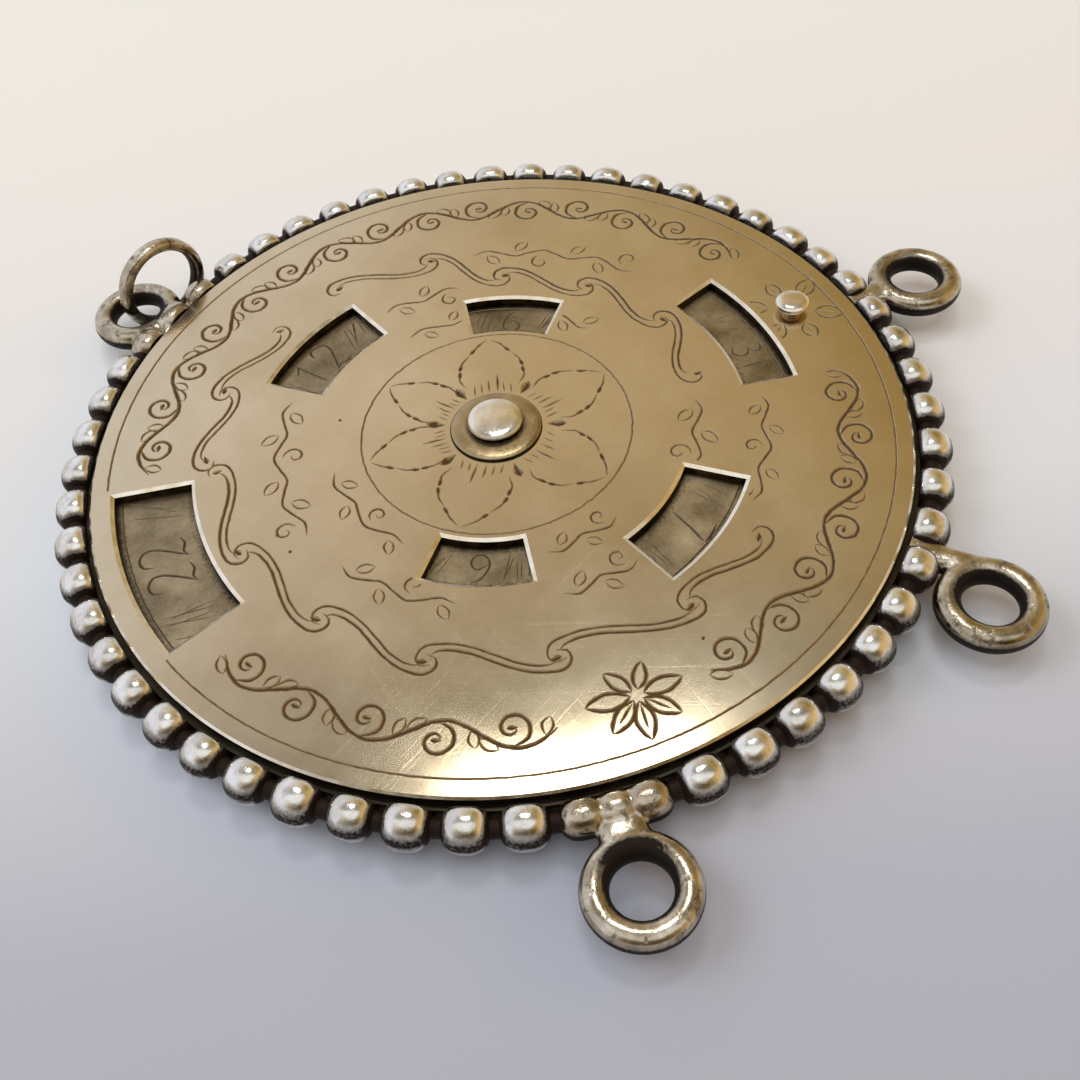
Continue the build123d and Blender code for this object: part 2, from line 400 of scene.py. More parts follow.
def sprig(radius, start, end, size, width=0.19):
    """A thin stem that follows the dial round, with leaves and curls on alternate sides."""
    cuts = []
    count = max(2, int(round(abs(end - start) * np.pi / 180 * radius / (0.95 * size))))
    stations = np.linspace(start, end, 2 * count + 1)
    sway = 0.16 * size * np.sin(np.linspace(0, np.pi * count, 2 * count + 1))
    cuts.append(cut(on_dial(radius + sway, stations), width))
    heading = np.sign(end - start) * 90
    for number, angle in enumerate(np.linspace(start, end, count, endpoint=False)):
        angle = angle + (end - start) / count / 2
        side = 1 if number % 2 else -1
        out = angle + dial_turn + (0 if side > 0 else 180)
        root = on_dial(radius + 0.1 * side * size, angle)
        if number % 3 == 2:
            centre = root + polar(0.34 * size, out)
            cuts.append(curl(centre, 0.34 * size, out + 180, side * np.sign(end - start), 1.1, width))
        else:
            cuts += leaf(root, out + heading * 0.45 * side, 0.6 * size, 0.26, 0.85 * width, False)
    return cuts


# %% The rosette round the pivot
def rosette(valleys, inner, outer, width=0.17):
    """Petals between the valley angles: three strokes a side, rays at the root and nicks between."""
    cuts = []
    reach = outer - inner
    for first, last in zip(valleys, valleys[1:] + valleys[:1]):
        span = (last - first) % 360
        axis = first + span / 2
        ahead, aside = polar(1, axis), polar(1, axis + 90)
        for side in (1, -1):
            strokes = (
                ([0.42, 0.28, 0.13], [1.92, 1.98, 1.6]),
                ([0.47, 0.6, 0.73], [1.93, 1.74, 1.26]),
                ([0.76, 0.9, 1.0], [1.18, 0.66, 0.06]),
            )
            for along, across in strokes:
                across = np.array(across) * reach / 5.0 * side * (0.3 + 0.7 * span / 60)
                line = (inner + np.array(along) * reach)[:, None] * ahead + across[:, None] * aside
                cuts.append(cut(line, width, fade=0.8))
                heading = np.degrees(np.arctan2(*(line[1] - line[0])[::-1]))
                cuts.append(nick(line[0], heading, 0.13 * reach, 1.8 * width))
        for number, lean in enumerate((-20, -12, -5, 4, 12, 20)):
            foot = inner + 0.03 * reach
            length = 0.12 + 0.07 * (number in (2, 3)) + hand.uniform(0, 0.05)
            tip = foot + (0.3 if number == 2 else length) * reach
            ray = axis + np.array([lean, 0.8 * lean]) * span / 60
            cuts.append(cut(polar(np.array([foot, tip]), ray), 1.15 * width, fade=0.7))
        cuts.append(nick(polar(inner + 0.23 * reach, first), first + 180, 0.19 * reach, 3.8 * width))
    return cuts


# %% The S-scroll garland and the vine of the border
def scroll_link(start, end):
    """One S-shaped ribbon of the garland, in two lines, with a hook and a nick at each end."""
    length = np.linalg.norm(end - start)
    ahead = (end - start) / length
    aside = np.array([-ahead[1], ahead[0]])
    hook = [(0.2, -0.32), (-0.36, -0.3), (-0.62, 0.18), (-0.4, 0.72), (0.2, 1.0)]
    run = [(0.2 * length, 0.98), (0.36 * length, 0.66), (0.52 * length, 0.16), (0.68 * length, -0.36)]
    tuck = [(0.84 * length, -0.6), (length - 0.45, -0.52), (length - 0.12, -0.28)]
    line = np.array(hook + run + tuck)
    cuts = []
    for side, shape in ((1, line), (-1, (length, 0) - line)):
        x, y = shape.T
        cuts.append(cut(start + x[:, None] * ahead + y[:, None] * aside, 0.21 + 0.02 * side, 1.2))
    heading = np.degrees(np.arctan2(ahead[1], ahead[0]))
    cuts.append(nick(start + 0.05 * ahead + 0.1 * aside, heading + 25, 0.55, 0.4))
    return cuts


def vine(start, end, radius=21.45, swing=0.85):
    """A running vine: a swaying stem with a curl at every bend and a pair of leaves between."""
    cuts = []
    bends = int(round(abs(end - start) / 9.6))
    pitch = (end - start) / bends
    angles = np.linspace(start, end, 4 * bends + 1)
    sway = swing * np.sin(np.linspace(0, np.pi * bends, 4 * bends + 1))
    cuts.append(cut(on_dial(radius + sway, angles), 0.29, fade=1.5))
    for bend in range(bends):
        side = 1 if bend % 2 == 0 else -1
        angle = start + (bend + 0.5) * pitch
        out = angle + dial_turn
        along = out + 90 * np.sign(pitch)
        centre = on_dial(radius - 0.35 * side, angle + 0.1 * pitch)
        cuts.append(curl(centre, 1.12, out + 90 - 90 * side, -side * np.sign(pitch), 1.25, 0.27))
        cuts.append(nick(centre + polar(0.18, along), along + 180, 0.5, 0.34))
        root = on_dial(radius + side * (swing + 0.05), angle + 0.28 * pitch)
        cuts += leaf(root, along + side * 38 * np.sign(pitch), 1.25, 0.24, 0.18, False)
        root = on_dial(radius - side * 0.75, angle - 0.42 * pitch)
        cuts += leaf(root, along - side * 75 * np.sign(pitch), 1.1, 0.26, 0.18, False)
    return cuts


# %% Lay out the front dial's drawing
dial_cuts = [
    cut(circle(0.956 * dial_radius, 200), 0.15, closed=True, wander=0.008),
    cut(circle(8.35, 80), 0.14, closed=True, wander=0.015),
]
petal_valleys = [dial_turn + angle for angle in (36.7, 101.4, 146.7, 195.3, 265.4, 336.2)]
dial_cuts += rosette(petal_valleys, 3.0, 7.95)
for radius, angle in ((9.93, 147), (14.85, 185.8), (14.8, 191.8), (19.7, 279.5)):
    dial_cuts.append(nick(on_dial(radius, angle), 0, 0.14, 0.3))
joints = [
    [(17.6, 104), (16.9, 82), (14.1, 64), (13.9, 40), (13.9, 15), (13.0, -9)],
    [(17.6, -57), (17.6, -77), (17.2, -103), (17.1, -127), (16.7, -150), (17.1, -174), (17.4, -197)],
    [(17.8, 160), (18.1, 141), (17.8, 121)],
]
for chain in joints:
    points = [on_dial(radius, angle) for radius, angle in chain]
    for start, end in zip(points[:-1], points[1:]):
        dial_cuts += scroll_link(start, end)
    dial_cuts.append(nick(points[-1], dial_turn, 0.5, 0.36))
for start, end in ((161, 17), (-16, -83), (-106, -158)):
    dial_cuts += vine(start, end)
for radius, start, end, size in (
    (16.6, 71, 31, 2.1),
    (13.4, 99, 76, 1.9),
    (10.3, 99, 77, 1.7),
    (10.4, 45, 29, 1.9),
    (12.3, -18, -44, 2.2),
    (16.4, -20, -50, 1.8),
    (13.4, 141, 190, 2.1),
    (10.2, 172, 214, 1.8),
    (10.3, 262, 288, 1.7),
    (13.4, 262, 282, 1.9),
    (13.3, 204, 236, 1.9),
):
    dial_cuts += sprig(radius, start, end, size)
knob_at = on_dial(knob_circle, 0)
for turn, length in ((35, 1.9), (90, 1.5), (145, 1.9), (215, 1.9), (270, 1.5), (325, 1.9)):
    dial_cuts += leaf(knob_at + on_dial(1.45, turn), turn + dial_turn, length, 0.3, 0.18)
palm_at = on_dial(20.9, -94)
for lean, length in ((-8, 2.7), (42, 2.5), (92, 2.6), (150, 2.1), (-150, 2.2), (-98, 2.8), (-52, 2.6)):
    way = dial_turn - 94 + lean
    dial_cuts += leaf(palm_at + polar(0.35, way), way, length - 0.35, 0.2, 0.27, abs(lean) < 60)
dial_cuts = trim(dial_cuts, off_the_dial)
print(f"front dial: {len(dial_cuts)} cuts, {sum(len(c[0]) for c in dial_cuts)} points")

# %% [markdown]
# ## Plain numbers
#
# Ten figures drawn as a few strokes each, in a box 0.62 wide and 1 high.

# %% Figures
FIGURES = {
    "0": [[(0.31, 1), (0.1, 0.8), (0.05, 0.45), (0.17, 0.06), (0.34, 0), (0.52, 0.16), (0.56, 0.55),
           (0.48, 0.88), (0.31, 1)]],
    "1": [[(0.12, 0.76), (0.3, 0.88), (0.36, 1)], [(0.36, 1), (0.34, 0.5), (0.33, 0)]],
    "2": [[(0.06, 0.76), (0.14, 0.95), (0.33, 1), (0.52, 0.86), (0.5, 0.64), (0.3, 0.34), (0.04, 0.02)],
          [(0.04, 0.02), (0.2, 0.1), (0.4, 0.02), (0.6, 0.08)]],
    "3": [[(0.08, 0.9), (0.3, 1), (0.5, 0.88), (0.46, 0.66), (0.24, 0.55)],
          [(0.24, 0.55), (0.5, 0.48), (0.56, 0.22), (0.36, 0), (0.06, 0.08)]],
    "4": [[(0.42, 1), (0.2, 0.62), (0.03, 0.32)], [(0.03, 0.32), (0.3, 0.33), (0.6, 0.34)],
          [(0.43, 0.7), (0.41, 0.3), (0.4, 0)]],
    "5": [[(0.56, 1), (0.34, 0.96), (0.15, 0.98)], [(0.15, 0.98), (0.12, 0.75), (0.1, 0.58)],
          [(0.1, 0.58), (0.36, 0.63), (0.55, 0.44), (0.52, 0.16), (0.3, 0), (0.05, 0.08)]],
    "6": [[(0.52, 0.98), (0.26, 0.84), (0.08, 0.5), (0.08, 0.18), (0.3, 0), (0.52, 0.12), (0.55, 0.36),
           (0.36, 0.52), (0.1, 0.34)]],
    "7": [[(0.05, 0.94), (0.3, 1), (0.58, 0.98)], [(0.58, 0.98), (0.4, 0.55), (0.22, 0)]],
    "8": [[(0.3, 0.54), (0.1, 0.7), (0.14, 0.94), (0.34, 1), (0.5, 0.86), (0.44, 0.66), (0.3, 0.54),
           (0.08, 0.36), (0.08, 0.12), (0.3, 0), (0.54, 0.12), (0.52, 0.36), (0.3, 0.54)]],
    "9": [[(0.52, 0.66), (0.3, 0.48), (0.08, 0.62), (0.08, 0.88), (0.3, 1), (0.52, 0.84), (0.54, 0.5),
           (0.36, 0.16), (0.1, 0.02)]],
}


def number(value, centre, size, up, mirrored=False, width=None):
    """The cuts of a plain number; up is the angle its top points to, mirrored for the rear face."""
    tall = polar(size, up)
    wide = polar(size, up + (90 if mirrored else -90))
    text = str(value)
    pitch = 0.72
    origin = np.asarray(centre) - tall / 2 - wide * (pitch * len(text) - 0.1) / 2
    width = width or 0.09 + 0.03 * size
    cuts = []
    for place, figure in enumerate(text):
        for points in FIGURES[figure]:
            p = np.array(points, float)
            spots = origin + (p[:, :1] + pitch * place) * wide + p[:, 1:] * tall
            cuts.append(cut(spots, width, fade=0.25 * size, step=0.1 * size, wander=0.004))
    return cuts


# %% The tables on both faces of the plate, and the numbers of the back dial
tables = {
    0: ("6 7 6 5 5 4 4 5 6 7 7 8", 2.1, 0),
    1: ("16 14 12 10 12 8 8 9 10 12 7 15", 2.8, 3.5),
    2: ("31 28 31 30 31 30 31 31 30 31 30 31", 1.9, -6),
    3: ("21 19 20 20 21 21 22 23 23 23 22 21", 2.9, 0),
}
plate_cuts = []
for ring, (values, size, lean) in tables.items():
    radius = (ring_radii[ring] + ring_radii[ring + 1]) / 2
    for sector, value in enumerate(values.split()):
        angle = dial_turn + 30 * sector + (lean if len(value) > 1 else 0)
        plate_cuts += number(value, polar(radius, angle), size, angle)
        for side in (-1, 1):
            for stroke in range(4):
                at = angle + side * (10.2 + 1.1 * stroke + hand.uniform(-0.4, 0.4))
                ends = np.array([ring_radii[ring] + 0.5, ring_radii[ring + 1] - 0.7])
                ends[0] += (0.2 * stroke + hand.uniform(0, 0.3)) * (ends[1] - ends[0]) / 2
                plate_cuts.append(cut(polar(ends, [at, at - hand.uniform(0, 4)]), 0.09, fade=1.2))
for radius in ring_radii:
    plate_cuts.append(cut(circle(radius - 0.35, 120), 0.08, closed=True, wander=0.01))

rear_cuts = []
rear_rings = np.linspace(back_radius + 0.5, plate_radius - 0.9, 6)
rear_cuts += [cut(circle(radius, 150), 0.11, closed=True, wander=0.01) for radius in rear_rings]
for sector in range(7):
    angle = 90 + 360 / 7 * sector
    ends = polar(np.array([rear_rings[0] + 0.15, rear_rings[-1] - 0.15]), angle + 180 / 7)
    rear_cuts.append(cut(ends, 0.11, fade=0.3, wander=0.005))
    for row in range(5):
        day = 7 * row + sector + 1
        if day <= 31:
            radius = (rear_rings[4 - row] + rear_rings[5 - row]) / 2
            rear_cuts += number(day, polar(radius, angle), 1.35, angle, True, 0.15)

back_cuts = [cut(circle(radius, 90), 0.12, closed=True, wander=0.01) for radius in (9.0, 12.9)]
for day in range(7):
    angle = back_turn + 360 / 7 * (day + 0.5)
    back_cuts += number(day + 1, polar(10.95, angle), 2.2, angle, True, 0.22)
back_cuts += rosette([back_turn + 60 * petal for petal in range(6)], 3.0, 8.2)

# %% [markdown]
# ## Silver
#
# All metal here is one silver in different states. `node` adds a shader node, sets its inputs and wires
# it up in one line. Patterns use object coordinates turned into millimetres, so their scales are real.

# %% A node in one line, and colours
def node(tree, kind, inputs=None, **settings):
    """Add a shader node; inputs are numbers, colours or other nodes' output sockets."""
    made = tree.nodes.new(kind)
    for name, value in settings.items():
        setattr(made, name, value)
    for name, value in (inputs or {}).items():
        if isinstance(value, bpy.types.NodeSocket):
            tree.links.new(value, made.inputs[name])
        else:
            made.inputs[name].default_value = value
    return made


def linear(code):
    """A hex colour as Blender's linear RGBA."""
    parts = np.array([int(code[i : i + 2], 16) / 255 for i in (1, 3, 5)])
    value = np.where(parts <= 0.04045, parts / 12.92, ((parts + 0.055) / 1.055) ** 2.4)
    return (*value, 1.0)


def ramp(tree, factor, stops):
    """A colour ramp with stops of (position, hex colour)."""
    made = node(tree, "ShaderNodeValToRGB", {0: factor})
    while len(made.color_ramp.elements) < len(stops):
        made.color_ramp.elements.new(0.5)
    for element, (position, code) in zip(made.color_ramp.elements, stops):
        element.position = position
        element.color = linear(code)
    return made.outputs[0]


def spread(tree, value, low, high, to_low, to_high):
    """Map a value from one range to another, clamped."""
    inputs = {"Value": value, "From Min": low, "From Max": high, "To Min": to_low, "To Max": to_high}
    return node(tree, "ShaderNodeMapRange", inputs).outputs[0]


def calc(tree, operation, a, b):
    return node(tree, "ShaderNodeMath", {0: a, 1: b}, operation=operation).outputs[0]


def mixed(tree, factor, first, second):
    """First colour where factor is 0, second where it is 1."""
    inputs = {"Factor": factor, "A": first, "B": second}
    return node(tree, "ShaderNodeMix", inputs, data_type="RGBA").outputs["Result"]


def frayed(tree, value, speck, amount):
    """A value made uneven by a noise round 0.5, so that its border frays."""
    return calc(tree, "ADD", value, calc(tree, "MULTIPLY", calc(tree, "SUBTRACT", speck, 0.5), amount))


def new_material(name):
    """An empty material, its tree, and object coordinates in millimetres."""
    material = bpy.data.materials.new(name)
    material.use_nodes = True
    tree = material.node_tree
    tree.nodes.clear()
    coordinates = node(tree, "ShaderNodeTexCoord").outputs["Object"]
    in_mm = node(tree, "ShaderNodeVectorMath", {0: coordinates, "Scale": 1000.0}, operation="SCALE")
    return material, tree, in_mm.outputs[0]


def noise(tree, place, scale, detail=2.0, roughness=0.5):
    inputs = {"Vector": place, "Scale": scale, "Detail": detail, "Roughness": roughness}
    return node(tree, "ShaderNodeTexNoise", inputs).outputs[0]


def finish_material(tree, colour, roughness, bump_height, bump_mm, metallic=1.0):
    """Principled shader and output; metallic is a number, or a socket where dirt hides the metal."""
    bump = node(tree, "ShaderNodeBump", {"Height": bump_height, "Distance": bump_mm * MM, "Strength": 1.0})
    inputs = {
        "Base Color": colour,
        "Roughness": roughness,
        "Normal": bump.outputs[0],
        "Metallic": metallic,
        "Specular IOR Level": 0.2,
    }
    shader = node(tree, "ShaderNodeBsdfPrincipled", inputs)
    node(tree, "ShaderNodeOutputMaterial", {"Surface": shader.outputs[0]})


# %% Silver sheet, engraved lines and worn edges
def scratches(tree, place, angles):
    """Fine straight scratches: noise drawn out along a line, once for each angle."""
    total = None
    for angle in angles:
        way = node(tree, "ShaderNodeMapping", {"Vector": place, "Rotation": (0, 0, np.radians(angle))})
        drawn = node(tree, "ShaderNodeMapping", {"Vector": way.outputs[0], "Scale": (0.12, 7.0, 1.0)})
        line = spread(tree, noise(tree, drawn.outputs[0], 1.0, 3.0), 0.6, 0.72, 0.0, 1.0)
        total = line if total is None else calc(tree, "MAXIMUM", total, line)
    return total


def from_axis(tree, place):
    """Distance from the turning axis, in mm."""
    flat = node(tree, "ShaderNodeVectorMath", {0: place, 1: (1, 1, 0)}, operation="MULTIPLY").outputs[0]
    return node(tree, "ShaderNodeVectorMath", {0: flat}, operation="LENGTH").outputs["Value"]


def silver_sheet(name, tones, rough, angles, droop=0.0, dirt_and_shade_from=100.0, dirt_and_shade_rings=(), cloud_scale=0.16):
    """Planished sheet: cloudy tarnish, fine crossing scratches and soft dents.

    It mirrors like a sheet whose rim droops by some mm over its last 7 mm. Beyond a given radius it is black,
    with dirt and painted shade for the gap round the sheet's rim, and dirt and painted shade lie along a
    given list of radii, where window edges shade it.
    """
    bump_mm = 0.004
    droop_width = 7
    material, tree, place = new_material(name)
    cloud = noise(tree, place, cloud_scale, 4.0, 0.6)
    grain = noise(tree, place, 5.0, 3.0, 0.6)
    tint = calc(tree, "ADD", calc(tree, "MULTIPLY", cloud, 0.8), calc(tree, "MULTIPLY", grain, 0.2))
    colour = ramp(tree, tint, [(0.32, tones[0]), (0.5, tones[1]), (0.68, tones[2])])
    radius = from_axis(tree, place)
    # painted shade and dirt: the rim in the gap under the dial's edge, and bands along the rings where the
    # window edges shade the plate, go near black
    dirt_and_shade = spread(tree, radius, dirt_and_shade_from, dirt_and_shade_from + 0.3, 0.0, 0.9)
    for ring in dirt_and_shade_rings:
        away = calc(tree, "ABSOLUTE", calc(tree, "SUBTRACT", radius, ring), 0.0)
        ragged = frayed(tree, away, grain, 0.8)
        dirt_and_shade = calc(tree, "MAXIMUM", dirt_and_shade, spread(tree, ragged, 0.05, 0.5, 0.65, 0.0))
    # the near black of that dirt and painted shade
    colour = mixed(tree, dirt_and_shade, colour, linear("#15120d"))
    fine = scratches(tree, place, angles)
    roughness = spread(tree, cloud, 0.3, 0.7, *rough)
    roughness = calc(tree, "ADD", roughness, calc(tree, "MULTIPLY", fine, 0.03))
    outer = spread(tree, radius, dial_radius - droop_width, dial_radius, 0.0, 1.0)
    sag = calc(tree, "MULTIPLY", calc(tree, "MULTIPLY", outer, outer), -droop / bump_mm)
    wave = calc(tree, "MULTIPLY", noise(tree, place, 0.2, 1.0), 7.0)
    skin = calc(tree, "SUBTRACT", calc(tree, "MULTIPLY", grain, 0.3), calc(tree, "MULTIPLY", fine, 0.15))
    relief = calc(tree, "ADD", calc(tree, "ADD", sag, wave), skin)
    finish_material(tree, colour, roughness, relief, bump_mm)
    return material


rear_silver = silver_sheet("rear_plate_silver", ("#8f7d5f", "#ab9876", "#c2b08e"), (0.2, 0.3), (30, 75))
dial_silver = silver_sheet(
    "worn_dial_silver", ("#c7b696", "#d0bfa1", "#d8c9ad"), (0.13, 0.18), (12, 64, 121), droop=0.17
)
# the plate gets dirt and painted shade at its rim and along its rings
plate_silver = silver_sheet(
    "tarnished_plate_silver", ("#685c47", "#918268", "#b0a083"), (0.3, 0.42), (80, 96),
    dirt_and_shade_from=plate_radius - 0.6, dirt_and_shade_rings=ring_radii, cloud_scale=0.3,
)


def dark_line(name, silver, dirt, wash):
    """A graver's cut: silver at its lips, old tarnish at its bottom, where the attribute cut is 1.

    The tarnish begins and is full at the two depths in wash.
    """
    material, tree, place = new_material(name)
    speck = noise(tree, place, 2.0, 3.0)
    depth = node(tree, "ShaderNodeAttribute", attribute_name="cut").outputs["Fac"]
    filled = spread(tree, frayed(tree, depth, speck, 0.6), *wash, 0.0, 1.0)
    colour = mixed(tree, filled, linear(silver), linear(dirt))
    metal = spread(tree, filled, 0.0, 1.0, 1.0, 0.3)
    finish_material(tree, colour, spread(tree, filled, 0.0, 1.0, 0.3, 0.6), speck, 0.004, metal)
    return material


dial_line = dark_line("engraved_line_in_dial", "#b39f7d", "#5c462b", (0.1, 0.75))
plate_line = dark_line("engraved_line_in_plate", "#85785f", "#40362a", (0.0, 0.9))


def speckled_silver(name, scale, stops, rough, bump_mm):
    """Silver whose tone, roughness and relief all follow one noise."""
    material, tree, place = new_material(name)
    speck = noise(tree, place, scale, 3.0)
    roughness = spread(tree, speck, 0.3, 0.7, *rough)
    finish_material(tree, ramp(tree, speck, stops), roughness, speck, bump_mm)
    return material


# a sheet's rubbed edge is brighter than its face; its side, which no finger polishes, is brown and black:
# tarnish, and painted shade, since the walls of the rim and the windows lie in shade
edge_stops = [(0.3, "#e0d0b0"), (0.7, "#faf4e8")]
edge_silver = speckled_silver("rubbed_edge_silver", 1.4, edge_stops, (0.16, 0.3), 0.006)
wall_stops = [(0.35, "#211a12"), (0.65, "#5b4a33")]
wall_silver = speckled_silver("tarnished_and_shaded_wall_silver", 1.1, wall_stops, (0.35, 0.5), 0.01)


# %% Cast and drawn silver, with grime and painted shade where a vertex attribute says so
def rounded_silver(name, tones, dirt_and_shade_tone="#15110c", rough=(0.1, 0.2), pitted=0.0):
    """Bright where clean and black where the vertex attribute is 1: dirt in the crevices, and painted shade
    in them and on shaded sides. The attribute runs from 0, clean, to 1, black.

    pitted is how dark the brown stains in the casting's pits are.
    """
    material, tree, place = new_material(name)
    cloud = noise(tree, place, 0.7, 4.0, 0.6)
    speck = noise(tree, place, 6.0, 3.0, 0.6)
    clean = ramp(tree, cloud, [(0.3, tones[0]), (0.55, tones[1]), (0.75, tones[2])])
    grime_and_shade = node(tree, "ShaderNodeAttribute", attribute_name="grime_and_shade").outputs["Fac"]
    dirt_and_shade = spread(tree, frayed(tree, grime_and_shade, speck, 0.5), 0.3, 0.8, 0.0, 1.0)
    pits = spread(tree, noise(tree, place, 1.5, 4.0, 0.65), 0.55, 0.68, 0.0, pitted)
    dirt_and_shade = calc(tree, "MAXIMUM", dirt_and_shade, pits)
    # dirt and painted shade darken the silver to this tone
    colour = mixed(tree, dirt_and_shade, clean, linear(dirt_and_shade_tone))
    roughness = spread(tree, cloud, 0.3, 0.7, *rough)
    roughness = calc(tree, "ADD", roughness, calc(tree, "MULTIPLY", dirt_and_shade, 0.35))
    relief = calc(tree, "ADD", calc(tree, "MULTIPLY", cloud, 4.0), speck)
    relief = calc(tree, "SUBTRACT", relief, calc(tree, "MULTIPLY", pits, 3.0))
    # a thin film of dirt and painted shade leaves the silver a mirror; only a thick one hides it
    metal = spread(tree, dirt_and_shade, 0.5, 1.0, 1.0, 0.25)
    finish_material(tree, colour, roughness, relief, 0.008, metal)
    return material


bright_silver = rounded_silver(
    "rubbed_bead_silver", ("#cdc7be", "#e9e6e0", "#f7f6f4"), "#22160f", rough=(0.13, 0.23), pitted=0.2
)
cast_silver = rounded_silver(
    "pitted_cast_silver", ("#93866f", "#c2b6a2", "#eae2d5"), "#1a120b", rough=(0.14, 0.26), pitted=0.7
)
button_silver = rounded_silver("polished_button_silver", ("#d6cab4", "#ece4d6", "#f8f4ec"))
washer_silver = rounded_silver("tan_washer_silver", ("#98835f", "#b09b76", "#c7b491"), rough=(0.22, 0.34))

# %% [markdown]
# ## The three sheets
#
# The two dials and the plate replace their CAD nodes, because the CAD model leaves the engraving out.

# %% Front dial, plate and back dial
def dress(piece, body, materials, node_name):
    """Give a piece its materials and its body, and hide the CAD node that it stands for."""
    for material in materials:
        piece.data.materials.append(material)
    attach(piece, body)
    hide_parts(node_name)


def round_rims(radius, bevel, count=300, hole=pivot_radius, hole_bevel=0.05):
    """Rim and hole of a round sheet, each as it is in the wall and where its bevel meets the face."""
    rim = (circle(radius, count), circle(radius - bevel, count))
    return [rim, (circle(hole, 36), circle(hole + hole_bevel, 36))]


dial_rims = round_rims(dial_radius, 0.13)
window_bevel = 0.22
dial_rims += [(window_outline(*edges, 0), window_outline(*edges, window_bevel)) for edges in window_edges]
front_dial = sheet("engraved_front_dial", dial_low, dial_high, dial_rims, dial_cuts, bevel_top=0.12)
dial_finish = (dial_silver, dial_line, edge_silver, wall_silver, dial_silver)
dress(front_dial, "front_disc", dial_finish, "front_dial")

plate_rims = round_rims(plate_radius, 0.06, hole=0.9, hole_bevel=0)
base_plate = sheet("engraved_base_plate", plate_low, plate_high, plate_rims, plate_cuts, rear_cuts)
plate_finish = (plate_silver, plate_line, edge_silver, wall_silver, rear_silver)
dress(base_plate, "plate", plate_finish, "base_plate")

back_rims = round_rims(back_radius, 0.1, 180)
back_dial = sheet("engraved_back_dial", back_low, back_high, back_rims, (), back_cuts, bevel_bottom=0.08)
dress(back_dial, "back_disc", dial_finish, "back_dial")

# %% [markdown]
# ## Turned pieces
#
# The rivet, washers and knobs are turned: a profile is spun round an upright axis. The profile is a list of
# radius and height, from the bottom to the top, with small steps for the rounded and worn corners.

# %% Spin a profile
def turned(profile, centre=(0, 0), steps=64, closed=False):
    """Spin a profile of (radius, z) round the upright axis through centre."""
    mesh = bmesh.new()
    line = [mesh.verts.new((radius * MM, 0, z * MM)) for radius, z in profile]
    edges = [mesh.edges.new(pair) for pair in zip(line[:-1], line[1:])]
    if closed:
        edges.append(mesh.edges.new((line[-1], line[0])))
    axis = {"cent": (0, 0, 0), "axis": (0, 0, 1)}
    bmesh.ops.spin(mesh, geom=line + edges, steps=steps, angle=2 * np.pi, **axis)
    bmesh.ops.remove_doubles(mesh, verts=mesh.verts, dist=1e-7)
    bmesh.ops.translate(mesh, verts=mesh.verts, vec=(centre[0] * MM, centre[1] * MM, 0))
    bmesh.ops.recalc_face_normals(mesh, faces=mesh.faces)
    return mesh


def add_grime(mesh, amount):
    """Store the vertex attribute of dirt and painted shade: amount(points in mm, normals) gives 0 for clean
    to 1 for black.
    """
    mesh.normal_update()
    layer = mesh.verts.layers.float.new("grime_and_shade")
    points = np.array([tuple(v.co) for v in mesh.verts]) / MM
    normals = np.array([tuple(v.normal) for v in mesh.verts])
    for vert, value in zip(mesh.verts, np.clip(amount(points, normals), 0, 1)):
        vert[layer] = value


# %% Rivet, washers and knobs
rivet_low, rivet_high = heights("rivet")
washer_low, washer_high = heights("front_washer")
foot_low, foot_high = heights("back_washer")


def raised(base, steps):
    """A profile from steps of (radius, height above base)."""
    return [(radius, base + rise) for radius, rise in steps]


tail = raised(rivet_low, ((0, 0), (0.8, 0), (1.15, 0.1), (1.45, 0.28), (1.66, 0.5), (1.68, 0.6)))
shank = [(1.3, foot_low), (0.89, foot_low), (0.89, washer_high)]
head = raised(washer_high, ((1.22, 0), (1.25, 0.12), (1.6, 0.2), (1.69, 0.3)))
dome = ((1.68, -0.24), (1.61, -0.13), (1.46, -0.07), (1.2, -0.03), (0.8, 0.005), (0.4, 0.025), (0, 0.032))
rivet = turned(tail + shank + head + raised(rivet_high, dome))
# painted shade under the rivet's head, with dirt on the shank between the washers
add_grime(rivet, lambda p, n: 1.2 * (p[:, 2] < washer_high + 0.22) * (p[:, 2] > foot_low - 0.1))
dress(finish_mesh("rivet_with_two_heads", rivet), "plate", (button_silver,), "rivet")


def washer_profile(flat, crown):
    """Flat side, rounded edge and a dome that falls a little from its hole outwards."""
    up = np.sign(crown - flat)
    steps = [(0.9, 0), (2.8, 0), (2.85, 0.03), (2.83, 0.09), (2.74, 0.17), (2.55, 0.22)]
    steps += [(radius, abs(crown - flat) - 0.03 * radius) for radius in (2.2, 1.8, 1.3, 0.9)]
    return raised(flat, [(radius, up * rise) for radius, rise in steps])


def washer_grime(points, normals):
    """Dirt and painted shade round the washer's edge, and a painted shadow under the head of the rivet."""
    radius = np.hypot(points[:, 0], points[:, 1])
    return np.maximum(1.3 - np.abs(radius - 2.84) / 0.04, 1.25 - (radius - 1.5) / 0.45)


for name, flat, crown in (("front", washer_low, washer_high), ("back", foot_high, foot_low)):
    washer = turned(washer_profile(flat, crown), closed=True)
    add_grime(washer, washer_grime)
    piece = finish_mesh(f"{name}_domed_washer", washer)
    dress(piece, "plate", (washer_silver,), f"{name}_washer")


